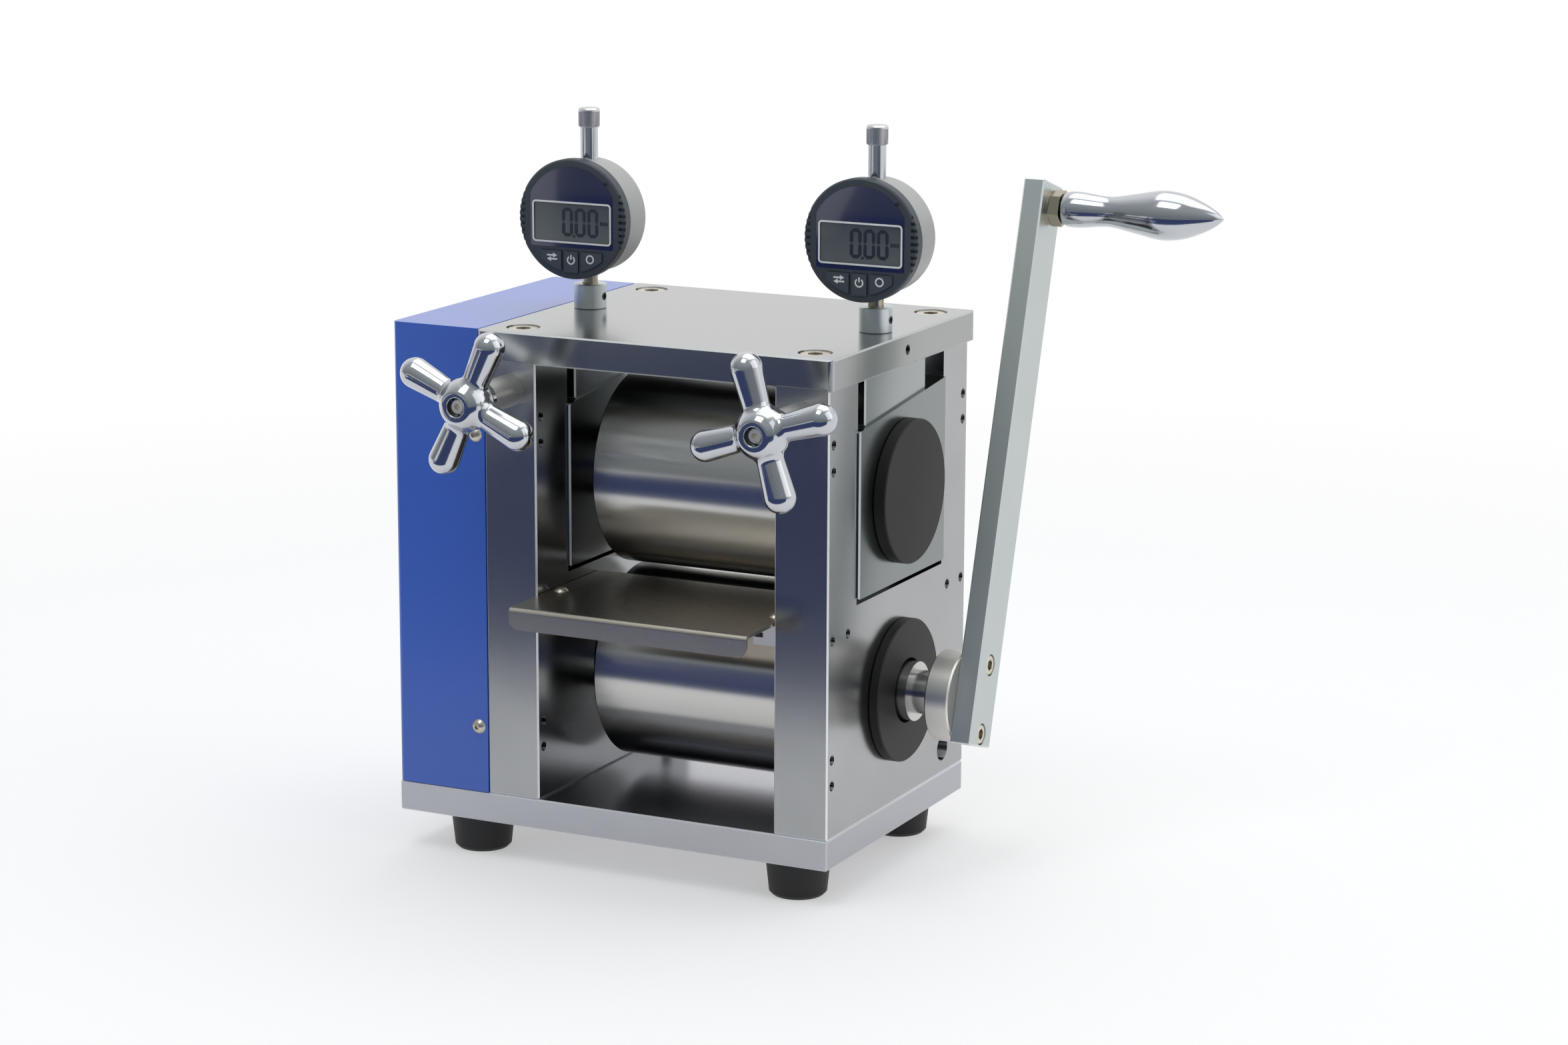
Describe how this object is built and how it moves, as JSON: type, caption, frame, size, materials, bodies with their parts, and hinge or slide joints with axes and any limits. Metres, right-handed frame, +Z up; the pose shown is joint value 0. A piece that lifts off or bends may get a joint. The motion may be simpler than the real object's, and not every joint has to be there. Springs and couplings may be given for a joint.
{
  "type": "manual calender",
  "caption": "Hand-cranked bench calender: polished rolls in a steel plate frame, wedge gap adjusters with cross knobs, digital gap indicators, feed plates and a blue gear cover.",
  "frame": {"origin": "on the floor under the middle of the bounding box", "axes": "+X from the gear cover towards the crank, +Y from the knobs at the front to the back, +Z up"},
  "size_m": [0.381, 0.2458, 0.3756],
  "materials": {
    "ground_steel": "ground, zinc plated",
    "bright_steel": "fine ground",
    "polished_sheet": "brushed stainless sheet",
    "ground_rolls": "mirror ground",
    "rubber_black": "matte",
    "blue_paint": "satin",
    "black_steel": "matte blackened",
    "black_screws": "black oxide",
    "bright_screws": "zinc plated",
    "bearing_steel": "polished",
    "chrome_plate": "polished",
    "turned_steel": "turned",
    "crank_grey": "ground, dull",
    "case_grey": "satin",
    "face_plastic": "fine texture",
    "display_glass": "glossy window",
    "button_plastic": "satin"
  },
  "bodies": {
    "frame": {"base_plate": "ground_steel", "rubber_feet": "rubber_black", "foot_screws": "black_screws", "side_plate_left": "ground_steel", "side_plate_right": "ground_steel", "side_plate_screws": "black_screws", "top_plate": "bright_steel", "top_plate_screws": "bright_screws", "gear_cover": "blue_paint", "cover_lugs": "bright_steel", "button_head_screws": "bright_screws", "lower_bearing_caps": "black_steel", "lower_outer_rings": "bearing_steel", "retaining_rings": "black_screws", "feed_plates": "polished_sheet", "feed_brackets": "bright_steel", "bracket_screws": "black_screws", "indicator_collars": "turned_steel", "set_screws": "black_screws", "indicator_case_left": "case_grey", "indicator_case_right": "case_grey", "dust_caps": "chrome_plate", "lift_springs": "bearing_steel"},
    "lower_roll_set": {"lower_roll": "ground_rolls", "lower_inner_rings": "bearing_steel", "drive_gear": "ground_steel", "lower_keys": "black_screws", "drive_gear_bolt": "bright_screws", "crank_hub": "chrome_plate", "crank_arm": "crank_grey", "crank_screws": "bright_screws", "handle_spindle": "chrome_plate"},
    "lower_cages": {"lower_ball_cages": "bearing_steel"},
    "handle": {"crank_handle": "chrome_plate"},
    "upper_carriage": {"bearing_block_left": "bright_steel", "bearing_block_right": "bright_steel", "upper_bearing_caps": "black_steel", "upper_outer_rings": "bearing_steel"},
    "upper_cages": {"upper_ball_cages": "bearing_steel"},
    "upper_roll_set": {"upper_roll": "ground_rolls", "upper_inner_rings": "bearing_steel", "driven_gear": "ground_steel", "driven_gear_key": "black_screws", "driven_gear_bolt": "bright_screws"},
    "wedge_pair": {"wedges": "ground_steel"},
    "left_screw": {"adjusting_screw_left": "turned_steel", "knob_left": "chrome_plate"},
    "right_screw": {"adjusting_screw_right": "turned_steel", "knob_right": "chrome_plate"},
    "spindles": {"indicator_spindles": "turned_steel"},
    "left_face": {"indicator_face_left": "face_plastic", "display_left": "display_glass"},
    "left_unit_button": {"unit_button_left": "button_plastic"},
    "left_power_button": {"power_button_left": "button_plastic"},
    "left_zero_button": {"zero_button_left": "button_plastic"},
    "right_face": {"indicator_face_right": "face_plastic", "display_right": "display_glass"},
    "right_unit_button": {"unit_button_right": "button_plastic"},
    "right_power_button": {"power_button_right": "button_plastic"},
    "right_zero_button": {"zero_button_right": "button_plastic"}
  },
  "joints": [
    {"name": "crank_turn", "type": "hinge", "parent": "frame", "child": "lower_roll_set", "pos_m": [0.05145, 0.01286, 0.093], "axis": [1, 0, 0], "continuous": true},
    {"name": "handle_spin", "type": "hinge", "parent": "lower_roll_set", "child": "handle", "pos_m": [0.09895, 0.0862, 0.32991], "axis": [1, 0, 0], "continuous": true},
    {"name": "lower_cage_turn", "type": "hinge", "parent": "frame", "child": "lower_cages", "pos_m": [0.05145, 0.01286, 0.093], "axis": [1, 0, 0], "continuous": true},
    {"name": "right_knob_turn", "type": "hinge", "parent": "frame", "child": "right_screw", "pos_m": [0.03695, -0.07014, 0.244], "axis": [0, 1, 0], "range_deg": [-4320, 1800]},
    {"name": "left_knob_turn", "type": "hinge", "parent": "frame", "child": "left_screw", "pos_m": [-0.12355, -0.07014, 0.244], "axis": [0, 1, 0], "range_deg": [-4320, 1800]},
    {"name": "wedge_slide", "type": "slide", "parent": "frame", "child": "wedge_pair", "axis": [0, 1, 0], "range_m": [-0.0075, 0.018]},
    {"name": "carriage_slide", "type": "slide", "parent": "frame", "child": "upper_carriage", "axis": [0, 0, 1], "range_m": [-0.00198, 0.00082], "deforming": ["lift_springs"]},
    {"name": "upper_roll_turn", "type": "hinge", "parent": "upper_carriage", "child": "upper_roll_set", "pos_m": [0.05145, 0.01286, 0.195], "axis": [1, 0, 0], "continuous": true},
    {"name": "upper_cage_turn", "type": "hinge", "parent": "upper_carriage", "child": "upper_cages", "pos_m": [0.05145, 0.01286, 0.195], "axis": [1, 0, 0], "continuous": true},
    {"name": "spindle_slide", "type": "slide", "parent": "frame", "child": "spindles", "axis": [0, 0, 1], "range_m": [-0.00198, 0.00082]},
    {"name": "left_face_turn", "type": "hinge", "parent": "frame", "child": "left_face", "pos_m": [-0.12355, -0.00614, 0.321], "axis": [0, 1, 0], "range_deg": [-135, 135]},
    {"name": "left_unit_press", "type": "slide", "parent": "left_face", "child": "left_unit_button", "axis": [0, 1, 0], "range_m": [0, 0.0006], "stiffness_N_per_m": 2000},
    {"name": "left_power_press", "type": "slide", "parent": "left_face", "child": "left_power_button", "axis": [0, 1, 0], "range_m": [0, 0.0006], "stiffness_N_per_m": 2000},
    {"name": "left_zero_press", "type": "slide", "parent": "left_face", "child": "left_zero_button", "axis": [0, 1, 0], "range_m": [0, 0.0006], "stiffness_N_per_m": 2000},
    {"name": "right_face_turn", "type": "hinge", "parent": "frame", "child": "right_face", "pos_m": [0.03695, -0.00614, 0.321], "axis": [0, 1, 0], "range_deg": [-135, 135]},
    {"name": "right_unit_press", "type": "slide", "parent": "right_face", "child": "right_unit_button", "axis": [0, 1, 0], "range_m": [0, 0.0006], "stiffness_N_per_m": 2000},
    {"name": "right_power_press", "type": "slide", "parent": "right_face", "child": "right_power_button", "axis": [0, 1, 0], "range_m": [0, 0.0006], "stiffness_N_per_m": 2000},
    {"name": "right_zero_press", "type": "slide", "parent": "right_face", "child": "right_zero_button", "axis": [0, 1, 0], "range_m": [0, 0.0006], "stiffness_N_per_m": 2000}
  ],
  "couplings": [
    {"joint": "lower_cage_turn", "follows": "crank_turn", "ratio": 0.3967},
    {"joint": "upper_roll_turn", "follows": "crank_turn", "ratio": -1},
    {"joint": "upper_cage_turn", "follows": "crank_turn", "ratio": -0.3967},
    {"joint": "right_knob_turn", "follows": "carriage_slide", "rad_per_m": 38080},
    {"joint": "left_knob_turn", "follows": "carriage_slide", "rad_per_m": 38080},
    {"joint": "wedge_slide", "follows": "carriage_slide", "ratio": -9.0909},
    {"joint": "spindle_slide", "follows": "carriage_slide", "ratio": 1}
  ]
}
